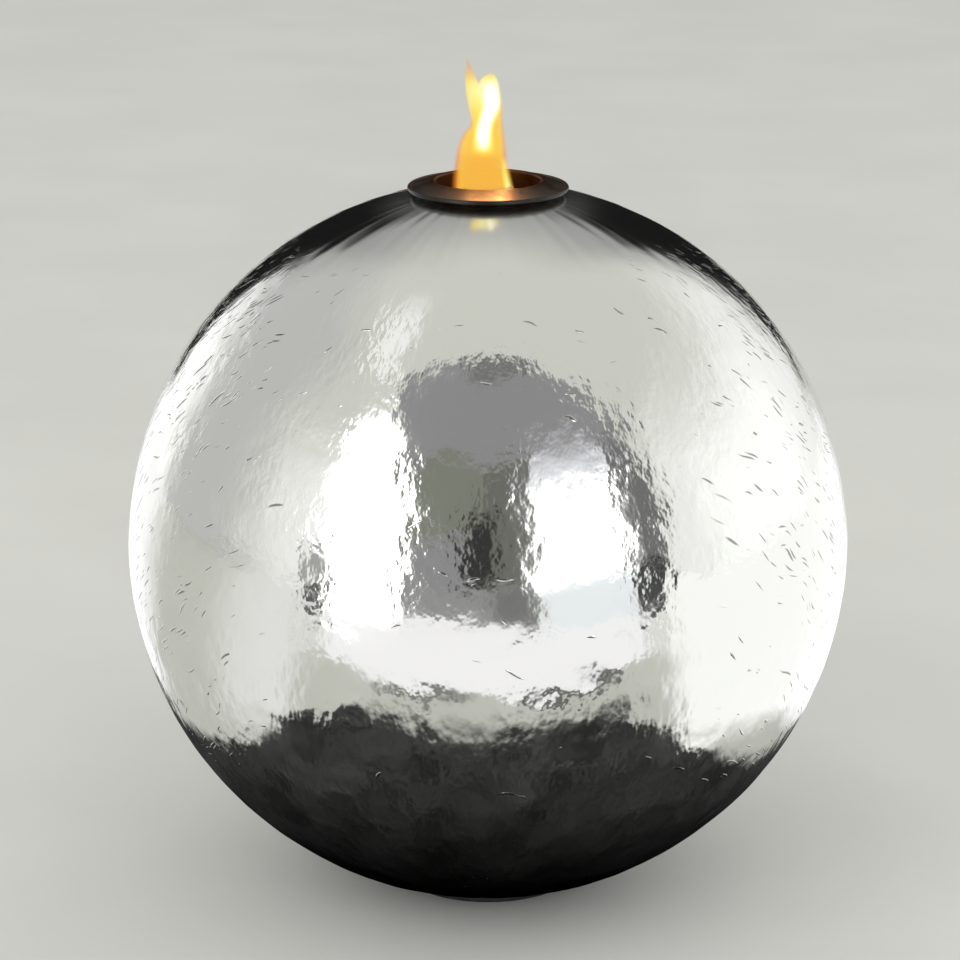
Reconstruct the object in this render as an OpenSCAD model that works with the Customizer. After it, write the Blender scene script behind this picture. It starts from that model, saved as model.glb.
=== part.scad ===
// Fire-and-water garden ball. A hollow, mirror-polished steel ball stands on a rubber ring. Water enters
// through a threaded socket in its base, climbs a riser into a well in the ball's top and spills over the
// well's lip, under the burner's cover ring and down the ball. An oil burner stands in the well on a baffle.
// Its wick holder lifts out of the tank for filling, and its wick slides in its tube to set the flame.
// Millimetres, +Z up, origin on the ground at the centre of the foot ring.

/* [Ball] */
// Outer diameter of the ball
ball_d = 300; // [270:5:400]
// Wall of the two pressed half shells
shell_t = 1.2; // [0.8:0.1:1.6]
// Width of the backing strip behind the equator seam
strip_w = 14; // [8:1:24]
// Thickness of the backing strip
strip_t = 1; // [0.6:0.1:2]

/* [Base] */
// Diameter of the flat at the bottom of the ball
stand_d = 80; // [76:1:100]
// Sheet thickness of the base pan
pan_t = 1.2; // [0.8:0.1:1.6]
// Width of the pan's rim that closes the flat
pan_rim_w = 7; // [6.8:0.2:10]
// Height of the hose recess above the pan's rim
recess_h = 12; // [9:0.5:20]
// Thickness of the rubber sole
foot_h = 3; // [2:0.5:6]
// How far the rubber sole stands back from the edge of the flat
foot_inset = 2; // [1:0.5:4]
// Wall of the rubber upstand that grips the recess
grip_t = 1.8; // [1:0.1:2.6]
// Height of the rubber upstand
grip_h = 6; // [4:0.5:8]

/* [Water inlet] */
// Bore of the half-inch pipe thread, at its crests
inlet_d = 18.6; // [18:0.1:19.6]
// Length of the thread
inlet_l = 16; // [12:1:20]
// Width across the flats of the socket's hexagon
inlet_af = 30; // [28:1:34]
// How far the hexagon hangs below the roof of the recess
inlet_drop = 9; // [6:0.5:9]
// Outer diameter of the riser pipe
riser_d = 22; // [21:0.5:24]
// Wall of the riser pipe
riser_t = 1; // [0.8:0.1:1.2]
// Depth of the seat that the riser stands in
riser_seat = 6; // [4:0.5:10]
// Wall of the socket around the riser
socket_t = 2; // [1.5:0.1:3]

/* [Well] */
// Depth of the well, from its lip to its floor
well_depth = 90; // [80:1:110]
// Sheet thickness of the well
well_t = 1; // [0.8:0.1:1.4]
// Radius of the corner between the well's wall and floor
well_corner = 5; // [3:0.5:7]
// Length of the neck that the riser is welded into
neck_l = 8; // [5:0.5:14]
// Width of the water's way between the tank and the well
water_gap = 3.8; // [3:0.1:5]
// Clearance between the tank and its centring fins
fin_clear = 0.4; // [0.3:0.05:0.6]
// Number of centring fins
fin_count = 3; // [3:1:6]
// Thickness of each fin
fin_t = 1.5; // [1:0.1:2.5]
// Height of each fin
fin_h = 40; // [20:1:50]

/* [Baffle] */
// Outer diameter of the baffle
baffle_d = 40; // [36:1:42]
// Height of the baffle's top above the well's floor
baffle_h = 12; // [10:0.5:16]
// Sheet thickness of the baffle
baffle_t = 1.2; // [0.8:0.1:2]
// Number of windows in the baffle's skirt
window_count = 6; // [4:1:8]
// Width of each window
window_w = 11; // [6:0.5:12]
// Height of each window
window_h = 7; // [4:0.5:8]

/* [Burner] */
// Outer diameter of the cover ring
cover_d = 66; // [64:0.5:76]
// Diameter of the burner's mouth
mouth_d = 43.2; // [42.4:0.1:46]
// Sheet thickness of the cover ring
cover_t = 1; // [0.8:0.1:1.4]
// Radius of the rolled outer edge
bead_r = 1; // [0.8:0.1:1.4]
// Radius of the rolled edge around the mouth
crown_r = 1.1; // [0.9:0.1:1.4]
// Height of the crown above the middle of the outer edge
cover_rise = 3.4; // [2.6:0.1:5]
// Height of the slot that the water leaves by, under the cover's edge
slot_h = 2.25; // [1.5:0.05:3.5]
// Wall of the fuel tank
tank_t = 0.8; // [0.6:0.1:1.2]
// Radius of the corner at the tank's bottom
tank_corner = 4; // [2:0.5:6]
// Diameter of each pad under the tank
pad_d = 8; // [5:0.5:10]
// Height of each pad
pad_h = 2; // [1:0.25:4]
// Number of pads
pad_count = 3; // [3:1:6]
// Radius of the circle that the pads lie on
pad_at = 13; // [11:0.5:14]

/* [Wick holder] */
// Diameter of the wick
wick_d = 22; // [20:0.5:23]
// Clearance around the wick in its tube
wick_clear = 0.3; // [0.3:0.05:0.5]
// How far the wick's top lies below the crown
wick_drop = 3; // [1:0.25:5]
// How far the wick stands out of its tube
wick_show = 4; // [2:0.25:6]
// Gap between the wick's foot and the tank's floor
wick_foot = 6; // [5:0.5:10]
// How far the wick can be drawn up before its band meets the tube
wick_travel = 8; // [4:0.5:12]
// Height of the crimped band around the wick
band_h = 5; // [3:0.5:8]
// Thickness of that band
band_t = 0.8; // [0.6:0.1:1.2]
// Wall of the wick tube
tube_t = 0.9; // [0.7:0.1:1]
// How far the tube stands above the wick plate
tube_up = 4; // [3:0.25:6]
// How far the tube reaches below the wick plate
tube_down = 22; // [14:1:34]
// Diameter of the collar on the tube
collar_d = 30; // [28.5:0.5:31]
// Thickness of that collar
collar_t = 1.5; // [1:0.1:2.5]
// Width across the flats of the nut under the plate
nut_af = 29; // [28:0.5:30]
// Thickness of the nut
nut_h = 5; // [3:0.5:8]
// Sheet thickness of the wick plate and its seat
plate_t = 1; // [0.8:0.1:1.4]
// Clearance between the wick plate and the mouth
plate_clear = 0.4; // [0.3:0.05:0.6]
// Height of the wick plate's turned-up edge
plate_edge_h = 3; // [2:0.25:5]
// Width of the ledge that the wick plate rests on
ledge_w = 3.2; // [2.6:0.1:3.6]
// Height of the seat's leg on the tank wall
leg_h = 6; // [4:0.5:9]
// Thickness of the gasket under the wick plate
gasket_t = 1; // [0.6:0.1:2]
// Width of each lifting tab
tab_w = 8; // [5:0.5:12]
// Height of each lifting tab above the plate's edge
tab_h = 2.5; // [1:0.25:3]
// Diameter of each vent hole
vent_d = 2.2; // [1.6:0.1:2.4]
// Number of vent holes
vent_count = 6; // [6:6:12]

/* [Hidden] */
$fn = 128;
arc_steps = 6;   // straight pieces in a drawn quarter round
cut = 1;         // how far a cutting tool runs past what it cuts
root3 = sqrt(3);

// Half the height of a ball of radius r where its horizontal section has radius s.
function half_chord(r, s) = sqrt(r * r - s * s);
// Points of an arc about [x, z], from angle a to angle b.
function arc(x, z, r, a, b, n = arc_steps) =
    [for (i = [0:n]) let (t = a + (b - a) * i / n) [x + r * cos(t), z + r * sin(t)]];

// Ball and base
ball_r = ball_d / 2;
stand_r = stand_d / 2;
pan_z = foot_h;                                   // underside of the pan's rim
stand_z = pan_z + pan_t;                          // the ball's flat
ball_z = stand_z + half_chord(ball_r, stand_r);   // centre of the ball
recess_r = stand_r - pan_rim_w - pan_t;           // inside of the recess
roof_z = stand_z + recess_h;                      // top of the pan's roof
roof_under = roof_z - pan_t;

// Inlet and riser
inlet_z = roof_under - inlet_drop;                // mouth of the thread
riser_r = riser_d / 2;
riser_z = inlet_z + inlet_l;                      // the riser's lower end
socket_r = riser_r + socket_t;

// Burner: radii from the mouth outwards
mouth_r = mouth_d / 2;
neck_r = mouth_r + cover_t;                       // inside of the tank
tank_r = neck_r + tank_t;
well_r = tank_r + water_gap;
well_out = well_r + well_t;
cover_r = cover_d / 2;
bead_at = cover_r - bead_r;

// Burner: heights from the ball upwards
lip_z = ball_z + half_chord(ball_r, well_out);
floor_z = lip_z - well_depth;                     // top of the well's floor
bead_z = ball_z + half_chord(ball_r, bead_at) + slot_h + bead_r;
crown_z = bead_z + cover_rise;
tank_top = crown_z - 2 * crown_r;
baffle_top = floor_z + baffle_h;
tank_z = baffle_top + pad_h;                      // underside of the tank
tank_floor = tank_z + tank_t;

// Wick holder: heights from the crown downwards
wick_top = crown_z - wick_drop;
tube_top = wick_top - wick_show;
plate_top = tube_top - tube_up;
plate_z = plate_top - plate_t;
seat_top = plate_z - gasket_t;
tube_z = plate_z - tube_down;
wick_z = tank_floor + wick_foot;
band_z = tube_z - wick_travel - band_h;

// Wick holder: radii
wick_r = wick_d / 2;
bore_r = wick_r + wick_clear;
tube_r = bore_r + tube_t;
collar_r = collar_d / 2;
plate_r = mouth_r - plate_clear;
ledge_r = plate_r - ledge_w;                      // opening in the seat
vent_at = (collar_r + ledge_r) / 2;

// A half of the hollow ball: up = 1 keeps the upper half, up = -1 the lower.
module half_shell(up, outer, thickness) {
    intersection() {
        difference() {
            sphere(r = outer);
            sphere(r = outer - thickness);
        }
        translate([-ball_r - cut, -ball_r - cut, up > 0 ? 0 : -ball_r - cut])
            cube([2 * (ball_r + cut), 2 * (ball_r + cut), ball_r + cut]);
    }
}

// A ring of rectangular section that stands on z = 0.
module band(inner, outer, height) {
    difference() {
        cylinder(r = outer, h = height);
        translate([0, 0, -cut]) cylinder(r = inner, h = height + 2 * cut);
    }
}

// Copies of the children, evenly spaced about the axis and turned by start.
module around(count, start = 0) {
    for (i = [0:count - 1]) rotate([0, 0, start + i * 360 / count]) children();
}

// Upper half of the ball, with the opening that the well is welded into.
module upper_shell() {
    color("gainsboro") translate([0, 0, ball_z]) difference() {
        half_shell(1, ball_r, shell_t);
        cylinder(r = well_out, h = ball_r + cut);
    }
}

// Lower half of the ball, cut off flat where it stands.
module lower_shell() {
    color("gainsboro") difference() {
        translate([0, 0, ball_z]) half_shell(-1, ball_r, shell_t);
        translate([0, 0, stand_z - ball_r]) cylinder(r = ball_r, h = ball_r);
    }
}

// Strip behind the equator seam that both half shells are welded over.
module seam_strip() {
    color("silver") translate([0, 0, ball_z]) intersection() {
        difference() {
            sphere(r = ball_r - shell_t);
            sphere(r = ball_r - shell_t - strip_t);
        }
        translate([0, 0, -strip_w / 2]) cylinder(r = ball_r, h = strip_w);
    }
}

// Pressed pan that closes the flat and forms the recess for the hose.
module base_pan() {
    color("silver") rotate_extrude() polygon([
        [recess_r, pan_z], [stand_r, pan_z], [stand_r, stand_z], [recess_r + pan_t, stand_z],
        [recess_r + pan_t, roof_z], [socket_r, roof_z], [socket_r, roof_under], [recess_r, roof_under]
    ]);
}

// Rubber ring that the ball stands on; its upstand grips the wall of the recess.
module foot_ring() {
    sole_in = recess_r - grip_t;
    sole_out = stand_r - foot_inset;
    soft = foot_h / 3;   // radius of the sole's lower edges
    color("dimgray") rotate_extrude() polygon(concat(
        arc(sole_in + soft, soft, soft, 180, 270),
        arc(sole_out - soft, soft, soft, 270, 360),
        [[sole_out, pan_z], [recess_r, pan_z], [recess_r, pan_z + grip_h], [sole_in, pan_z + grip_h]]
    ));
}

// Welded socket: a hexagon under the roof, and a spigot above it that the riser stands in.
module inlet_socket() {
    color("silver") difference() {
        union() {
            translate([0, 0, inlet_z]) cylinder(r = inlet_af / root3, h = inlet_drop, $fn = 6);
            translate([0, 0, inlet_z]) cylinder(r = socket_r, h = riser_z + riser_seat - inlet_z);
        }
        translate([0, 0, inlet_z - cut]) cylinder(d = inlet_d, h = inlet_l + 2 * cut);
        translate([0, 0, riser_z]) cylinder(r = riser_r, h = riser_seat + cut);
    }
}

// Pipe from the socket up to the floor of the well.
module riser_pipe() {
    color("silver") translate([0, 0, riser_z]) band(riser_r - riser_t, riser_r, floor_z - riser_z);
}

// Spun cup in the ball's top, with a level lip and a neck for the riser.
module well_cup() {
    lip_r = well_t / 2;
    under = floor_z - well_t;
    color("silver") rotate_extrude() polygon(concat(
        [[riser_r, floor_z], [riser_r, under - neck_l], [riser_r + well_t, under - neck_l],
            [riser_r + well_t, under]],
        arc(well_out - well_corner, under + well_corner, well_corner, 270, 360),
        arc(well_r + lip_r, lip_z - lip_r, lip_r, 0, 180),
        arc(well_out - well_corner, under + well_corner, well_corner - well_t, 360, 270)
    ));
}

// Upturned cup over the riser's mouth: it spreads the water, and the burner stands on it.
module flow_baffle() {
    baffle_r = baffle_d / 2;
    color("silver") translate([0, 0, floor_z]) difference() {
        cylinder(r = baffle_r, h = baffle_h);
        translate([0, 0, -cut]) cylinder(r = baffle_r - baffle_t, h = baffle_h - baffle_t + cut);
        around(window_count) translate([0, -window_w / 2, -cut]) cube([ball_r, window_w, window_h + cut]);
    }
}

// Fins on the well's wall that keep the tank in the middle; their upper ends slope to guide it in.
module centring_fins() {
    inner = tank_r + fin_clear;
    foot = floor_z + baffle_h + pad_h + tank_corner;
    width = well_r - inner;
    color("silver") intersection() {
        around(fin_count, 90) translate([0, fin_t / 2, 0]) rotate([90, 0, 0])
            linear_extrude(fin_t) polygon([
                [inner, foot + width], [well_r + cut, foot], [well_r + cut, foot + fin_h],
                [well_r - width / 8, foot + fin_h], [inner, foot + fin_h - 2 * width]
            ]);
        translate([0, 0, floor_z]) cylinder(r = well_r, h = well_depth);
    }
}

// Deep-drawn tank for the lamp oil.
module fuel_tank() {
    color("silver") rotate_extrude() polygon(concat(
        [[0, tank_z]],
        arc(tank_r - tank_corner, tank_z + tank_corner, tank_corner, 270, 360),
        [[tank_r, tank_top], [neck_r, tank_top]],
        arc(tank_r - tank_corner, tank_z + tank_corner, tank_corner - tank_t, 360, 270),
        [[0, tank_floor]]
    ));
}

// Silicone pads under the tank.
module tank_pads() {
    color("dimgray") around(pad_count, 90) translate([pad_at, 0, baffle_top])
        cylinder(d = pad_d, h = pad_h);
}

// Spun cover ring: a rolled outer edge over the water slot, a cone, a rolled crown and a neck in the tank.
module cover_ring() {
    crown_at = mouth_r + crown_r;
    drop = cover_t / cos(atan2(cover_rise - cover_t / 2, bead_at - crown_at));   // sheet, measured upright
    color("gainsboro") rotate_extrude() union() {
        translate([bead_at, bead_z]) circle(r = bead_r);
        translate([crown_at, crown_z - crown_r]) circle(r = crown_r);
        polygon([[bead_at, bead_z - drop / 2], [bead_at, bead_z + drop / 2],
            [crown_at, crown_z], [crown_at, crown_z - drop]]);
        translate([mouth_r, seat_top]) square([cover_t, crown_z - crown_r - seat_top]);
    }
}

// Angle ring inside the tank: the wick plate rests on its ledge.
module plate_seat() {
    color("silver") rotate_extrude() polygon([
        [ledge_r, seat_top], [neck_r, seat_top], [neck_r, seat_top - plate_t - leg_h],
        [neck_r - plate_t, seat_top - plate_t - leg_h], [neck_r - plate_t, seat_top - plate_t],
        [ledge_r, seat_top - plate_t]
    ]);
}

// Gasket between the ledge and the wick plate.
module plate_gasket() {
    color("darkred") translate([0, 0, seat_top]) band(ledge_r, plate_r, gasket_t);
}

// Dished plate that carries the wick tube, with vents and two tabs to lift it by.
module wick_plate() {
    color("goldenrod") difference() {
        union() {
            rotate_extrude() polygon([
                [tube_r, plate_z], [plate_r, plate_z], [plate_r, plate_top + plate_edge_h],
                [plate_r - plate_t, plate_top + plate_edge_h], [plate_r - plate_t, plate_top],
                [tube_r, plate_top]
            ]);
            intersection() {
                translate([0, 0, plate_top]) band(plate_r - plate_t, plate_r, plate_edge_h + tab_h);
                translate([-plate_r, -tab_w / 2, plate_top]) cube([2 * plate_r, tab_w, ball_r]);
            }
        }
        around(vent_count, 180 / vent_count) translate([vent_at, 0, plate_z - cut])
            cylinder(d = vent_d, h = plate_t + 2 * cut);
    }
}

// Tube that holds the wick; its collar rests on the plate.
module wick_tube() {
    color("goldenrod") difference() {
        union() {
            translate([0, 0, tube_z]) cylinder(r = tube_r, h = tube_top - tube_z);
            translate([0, 0, plate_top]) cylinder(r = collar_r, h = collar_t);
        }
        translate([0, 0, tube_z - cut]) cylinder(r = bore_r, h = tube_top - tube_z + 2 * cut);
    }
}

// Nut that clamps the tube to the plate.
module tube_nut() {
    color("goldenrod") translate([0, 0, plate_z - nut_h]) difference() {
        cylinder(r = nut_af / root3, h = nut_h, $fn = 6);
        translate([0, 0, -cut]) cylinder(r = tube_r, h = nut_h + 2 * cut);
    }
}

// Steel band crimped round the wick: it stops the wick from being drawn out of the tube.
module wick_band() {
    color("silver") translate([0, 0, band_z]) band(wick_r, wick_r + band_t, band_h);
}

// Round glass-fibre wick with soft ends.
module wick() {
    soft = wick_r / 5;
    color("ivory") rotate_extrude() polygon(concat(
        [[0, wick_z]],
        arc(wick_r - soft, wick_z + soft, soft, 270, 360),
        arc(wick_r - soft, wick_top - soft, soft, 0, 90),
        [[0, wick_top]]
    ));
}

upper_shell();
lower_shell();
seam_strip();
base_pan();
foot_ring();
inlet_socket();
riser_pipe();
well_cup();
flow_baffle();
centring_fins();
fuel_tank();
tank_pads();
cover_ring();
plate_seat();
plate_gasket();
wick_plate();
wick_tube();
tube_nut();
wick_band();
wick();
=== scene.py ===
"""Looks of a fire-and-water garden ball: a wet mirror-polished steel ball with an oil burner in its top."""

import logging
import math
from dataclasses import dataclass
from enum import Enum
from functools import partial
from typing import Any, Callable, Iterable, Sequence

import bmesh
import bpy
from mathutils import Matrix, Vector, noise

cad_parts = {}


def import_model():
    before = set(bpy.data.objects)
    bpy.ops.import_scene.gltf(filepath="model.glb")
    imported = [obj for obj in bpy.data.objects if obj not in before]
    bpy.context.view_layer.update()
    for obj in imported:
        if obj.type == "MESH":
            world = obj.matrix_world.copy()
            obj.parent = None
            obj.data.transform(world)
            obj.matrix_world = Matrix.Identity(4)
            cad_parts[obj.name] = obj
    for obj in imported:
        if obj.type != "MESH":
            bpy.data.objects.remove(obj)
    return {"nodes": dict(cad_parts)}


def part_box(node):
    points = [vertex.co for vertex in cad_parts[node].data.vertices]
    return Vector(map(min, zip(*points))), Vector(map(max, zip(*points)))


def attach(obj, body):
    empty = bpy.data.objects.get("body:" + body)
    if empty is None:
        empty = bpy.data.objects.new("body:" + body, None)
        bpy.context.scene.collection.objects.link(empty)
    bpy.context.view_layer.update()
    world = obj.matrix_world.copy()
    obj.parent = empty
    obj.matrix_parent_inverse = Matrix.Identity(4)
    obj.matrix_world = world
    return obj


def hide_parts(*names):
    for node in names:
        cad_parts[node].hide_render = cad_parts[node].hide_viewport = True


log = logging.getLogger("fire_ball")

MM = 0.001
TURN = 2 * math.pi
FLAT = (1.0, 1.0, 0.0)  # what a place is multiplied by to lose its height
SMOOTH = {"interpolation_type": "SMOOTHSTEP"}
Colour = tuple[float, float, float, float]
Point = tuple[float, float]
Adder = Callable[..., bpy.types.Node]


# ---------------------------------------------------------------- small helpers


def linear(code: str) -> Colour:
    """Turns an sRGB hex value into a linear colour.

    Args:
        code: six hex digits, with or without a leading hash.

    Returns:
        Linear red, green and blue, and an alpha of 1.
    """
    values = [int(code.lstrip("#")[i : i + 2], 16) / 255 for i in (0, 2, 4)]
    red, green, blue = (v / 12.92 if v <= 0.04045 else ((v + 0.055) / 1.055) ** 2.4 for v in values)
    return red, green, blue, 1.0


def feed(node: bpy.types.Node, inputs: dict[str | int, Any]) -> None:
    """Sets or links a node's inputs.

    Args:
        node: the node.
        inputs: a value, another node's output, or another node for its first output, by name or place.
    """
    for key, value in inputs.items():
        source = value.outputs[0] if isinstance(value, bpy.types.Node) else value
        if isinstance(source, bpy.types.NodeSocket):
            node.id_data.links.new(source, node.inputs[key])
        else:
            node.inputs[key].default_value = source


def add(
    tree: bpy.types.NodeTree,
    kind: str,
    inputs: dict[str | int, Any] | None = None,
    stops: Iterable[tuple[float, str | Colour]] = (),
    **settings: Any,
) -> bpy.types.Node:
    """Adds a node with its settings and links.

    Args:
        tree: the node tree that gets the node.
        kind: the node's type, without its leading "ShaderNode".
        inputs: what its inputs are fed.
        stops: the stops of a colour ramp, in rising order, with hex or linear colours.
        settings: the node's own settings.

    Returns:
        The new node.
    """
    node = tree.nodes.new("ShaderNode" + kind)
    for name, value in settings.items():
        setattr(node, name, value)
    for place, (position, colour) in enumerate(stops):
        elements = node.color_ramp.elements
        element = elements[place] if place < 2 else elements.new(position)
        element.position, element.color = position, linear(colour) if isinstance(colour, str) else colour
    feed(node, inputs or {})
    return node


def arc(centre: Point, radius: float, start: float, end: float, steps: int) -> list[Point]:
    """Gives points of an arc.

    Args:
        centre: the arc's centre, as distance from the axis and height.
        radius: the arc's radius.
        start: the first point's angle in degrees.
        end: the last point's angle in degrees.
        steps: the number of chords.

    Returns:
        The points, both ends included.
    """
    angles = (math.radians(start + (end - start) * i / steps) for i in range(steps + 1))
    return [(centre[0] + radius * math.cos(a), centre[1] + radius * math.sin(a)) for a in angles]


def ease(low: float, high: float, value: float) -> float:
    """Rises smoothly from 0 at low to 1 at high."""
    t = min(max((value - low) / (high - low), 0.0), 1.0)
    return t * t * (3 - 2 * t)


def spun(profile: Sequence[Point], steps: int, closed: bool = True) -> bmesh.types.BMesh:
    """Spins a profile about the vertical axis, as a lathe or a spinning chuck does.

    Args:
        profile: distances from the axis and heights, in millimetres.
        steps: the number of steps of the turn.
        closed: whether the last point joins the first.

    Returns:
        A mesh in metres, with its doubles merged and its faces turned outwards.
    """
    bm = bmesh.new()
    points = [bm.verts.new((r * MM, 0, z * MM)) for r, z in profile]
    ends = points[1:] + points[:1] if closed else points[1:]
    edges = [bm.edges.new(pair) for pair in zip(points, ends)]
    bmesh.ops.spin(
        bm, geom=points + edges, axis=(0, 0, 1), cent=(0, 0, 0), angle=TURN, steps=steps, use_merge=True
    )
    bmesh.ops.remove_doubles(bm, verts=bm.verts, dist=1e-7)
    bmesh.ops.recalc_face_normals(bm, faces=bm.faces)
    return bm


def model(name: str, bm: bmesh.types.BMesh, crease: float = 32) -> bpy.types.Object:
    """Turns a bmesh into an object at the origin.

    Args:
        name: the object's name.
        bm: the shape, which is freed.
        crease: the angle in degrees past which an edge stays sharp.

    Returns:
        The new object.
    """
    for face in bm.faces:
        face.smooth = True
    for edge in bm.edges:
        edge.smooth = not (edge.is_manifold and edge.calc_face_angle(0) > math.radians(crease))
    mesh = bpy.data.meshes.new(name)
    bm.to_mesh(mesh)
    bm.free()
    made = bpy.data.objects.new(name, mesh)
    bpy.context.scene.collection.objects.link(made)
    return made


# ---------------------------------------------------------------- finishes


@dataclass(frozen=True)
class Finish:
    """A surface finish: one material, made once and shared by the pieces that have it."""

    name: str
    colour: str
    roughness: float
    metallic: float = 1.0

    def material(self) -> bpy.types.Material:
        """Gives the finish's material, which is made the first time.

        Returns:
            The material.
        """
        found = bpy.data.materials.get(self.name)
        if found:
            return found
        made = bpy.data.materials.new(self.name)
        made.use_nodes = True
        shader = made.node_tree.nodes["Principled BSDF"]
        plain = {"Base Color": linear(self.colour), "Roughness": self.roughness, "Metallic": self.metallic}
        feed(shader, plain)
        self.pattern(partial(add, made.node_tree), shader)
        return made

    def pattern(self, node: Adder, shader: bpy.types.Node) -> None:
        """Adds the finish's own pattern to a plain shader.

        Args:
            node: adds a node to the material.
            shader: the material's Principled node.
        """

    def dress(self, piece: bpy.types.Object) -> None:
        """Gives the finish to a piece."""
        piece.data.materials.clear()
        piece.data.materials.append(self.material())


@dataclass(frozen=True)
class WetMirrorSteel(Finish):
    """304 stainless sheet, pressed and mirror polished, under a running film of water.

    The film leaves the slot fast and smeared, and then breaks into shallow dimples all over and into short,
    steeply sloped strokes along the flow, most of them in loose rows. The steel under them stays smooth; the
    strokes' darker colour is painted shade, for the light that their steeper sides throw away.
    """

    name: str = "wet_mirror_polished_stainless_steel"
    colour: str = "#DFE0DB"
    roughness: float = 0.1
    smeared: float = 0.26  # roughness where the film leaves the slot
    smear_mm: Point = (36.0, 58.0)  # falls between which the smear clears
    break_mm: Point = (68.0, 124.0)  # falls between which the film breaks up
    dimple_mm: float = 0.34
    stroke_mm: float = 0.16
    calming_mm: Point = (205.0, 260.0)  # falls between which the dimples lose half their height
    run_mm: float = 1.9  # height of the runs that the film gathers in on the lower half
    runs_from_mm: Point = (222.0, 280.0)  # falls between which the runs set in
    strokes_end_mm: Point = (280.0, 340.0)  # falls between which the strokes stop
    lean: float = 45.0  # angle in degrees between a stroke and the flow
    stroke_and_painted_shade: str = "#595A57"  # painted shade on a stroke's steeper side, which throws the light away
    painted_shade_share: float = 0.8  # how far the painted shade covers the steel's colour on a stroke
    sway_mm: float = 16.0  # how far the strokes bend aside
    crowded: float = 2.8  # how crowded the strokes lie beside the front
    water_ior: float = 1.33

    def pattern(self, node: Adder, shader: bpy.types.Node) -> None:
        """Adds the film's dimples, runs and strokes, with painted shade on the strokes, in millimetres across
        and along the flow.

        Args:
            node: adds a node to the material.
            shader: the material's Principled node.
        """
        film = node("Attribute", attribute_name="film").outputs["Vector"]
        ways = node("SeparateXYZ", {0: film}).outputs
        depth, fall = ways["Y"], ways["Z"]

        def cells(place: Any, sizes: Sequence[float], shift: float) -> bpy.types.Node:
            """Scales a place so that one unit is a cell of the given sizes in millimetres."""
            terms = {0: place, 1: tuple(1 / size for size in sizes), 2: (shift, 0.7 * shift, 0.3 * shift)}
            return node("VectorMath", terms, operation="MULTIPLY_ADD")

        def waves(sizes: Sequence[float], shift: float, detail: float = 0.0) -> bpy.types.Node:
            """Gives a noise whose cells have the given sizes in millimetres."""
            return node("TexNoise", {"Vector": cells(film, sizes, shift), "Scale": 1.0, "Detail": detail})

        def product(*factors: Any) -> Any:
            """Multiplies any number of values."""
            result = factors[0]
            for factor in factors[1:]:
                result = node("Math", {0: result, 1: factor}, operation="MULTIPLY")
            return result

        broken = node("MapRange", {0: fall, 1: self.break_mm[0], 2: self.break_mm[1]}, **SMOOTH)
        patches = product(
            node("MapRange", {0: waves((24.0, 24.0, 18.0), 5.3), 1: 0.35, 2: 0.65, 3: 0.35}, **SMOOTH),
            node("MapRange", {0: fall, 1: self.calming_mm[1], 2: self.calming_mm[0], 3: 0.5}, **SMOOTH),
        )
        dimples = product(waves((4.8, 4.8, 5.8), 3.1, 2.0), product(patches, self.dimple_mm))
        low_down = node("MapRange", {0: fall, 1: self.runs_from_mm[0], 2: self.runs_from_mm[1]}, **SMOOTH)
        runs = product(waves((7.0, 7.0, 12.0), 13.7, 2.0), low_down, patches, self.run_mm)
        rough_water = product(node("Math", {0: dimples, 1: runs}, operation="ADD"), broken)

        # A stroke climbs towards the front on both sides of the ball, and bends.
        sway = node("TexNoise", {"Vector": cells(film, (26.0,) * 3, 2.9), "Scale": 1.0, "Detail": 1.0})
        bends = {0: sway.outputs["Color"], 1: (self.sway_mm,) * 3, 2: film}
        bent = node("VectorMath", bends, operation="MULTIPLY_ADD")
        leaning = {"Vector": bent, "Angle": math.radians(self.lean)}
        turned = node("VectorRotate", leaning, rotation_type="X_AXIS")
        marks = node("TexVoronoi", {"Vector": cells(turned, (14.0, 1.5, 15.0), 9.7), "Scale": 1.0})
        chance = node("SeparateColor", {0: marks.outputs["Color"]}).outputs
        size = node("MapRange", {0: chance[1], 3: 0.6, 4: 1.2})
        within = node("Math", {0: marks, 1: size}, operation="DIVIDE")
        strokes = node("MapRange", {0: within, 1: 0.33, 2: 0.14}, **SMOOTH)

        # Which strokes are there: loose rows, strays between them, few at the front and none at the slot.
        lanes = node("Math", {0: waves((64.0, 64.0, 20.0), 21.3, 1.0), 1: 0.5}, operation="SUBTRACT")
        lanes = node("Math", {0: lanes}, operation="ABSOLUTE")
        in_rows = node("MapRange", {0: lanes, 1: 0.06, 2: 0.015}, **SMOOTH)
        strays = node("MapRange", {0: waves((14.0, 14.0, 12.0), 33.9), 1: 0.54, 2: 0.68}, **SMOOTH)
        either = node("Math", {0: in_rows, 1: product(strays, 0.6)}, operation="MAXIMUM")
        some = node("Math", {0: either, 1: 0.08}, operation="ADD")
        aside = product(
            node("MapRange", {0: depth, 1: -130.0, 2: -24.0, 3: 0.03}, **SMOOTH),
            node("MapRange", {0: depth, 1: 60.0, 2: -30.0, 3: 0.3}, **SMOOTH),
            self.crowded,
        )
        drawn = node("Math", {0: chance[0], 1: product(some, aside)}, operation="LESS_THAN")
        ending = {0: fall, 1: self.strokes_end_mm[1], 2: self.strokes_end_mm[0]}
        lasting = product(broken, node("MapRange", ending, **SMOOTH))
        stroke_and_painted_shade = product(strokes, product(drawn, lasting))

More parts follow.
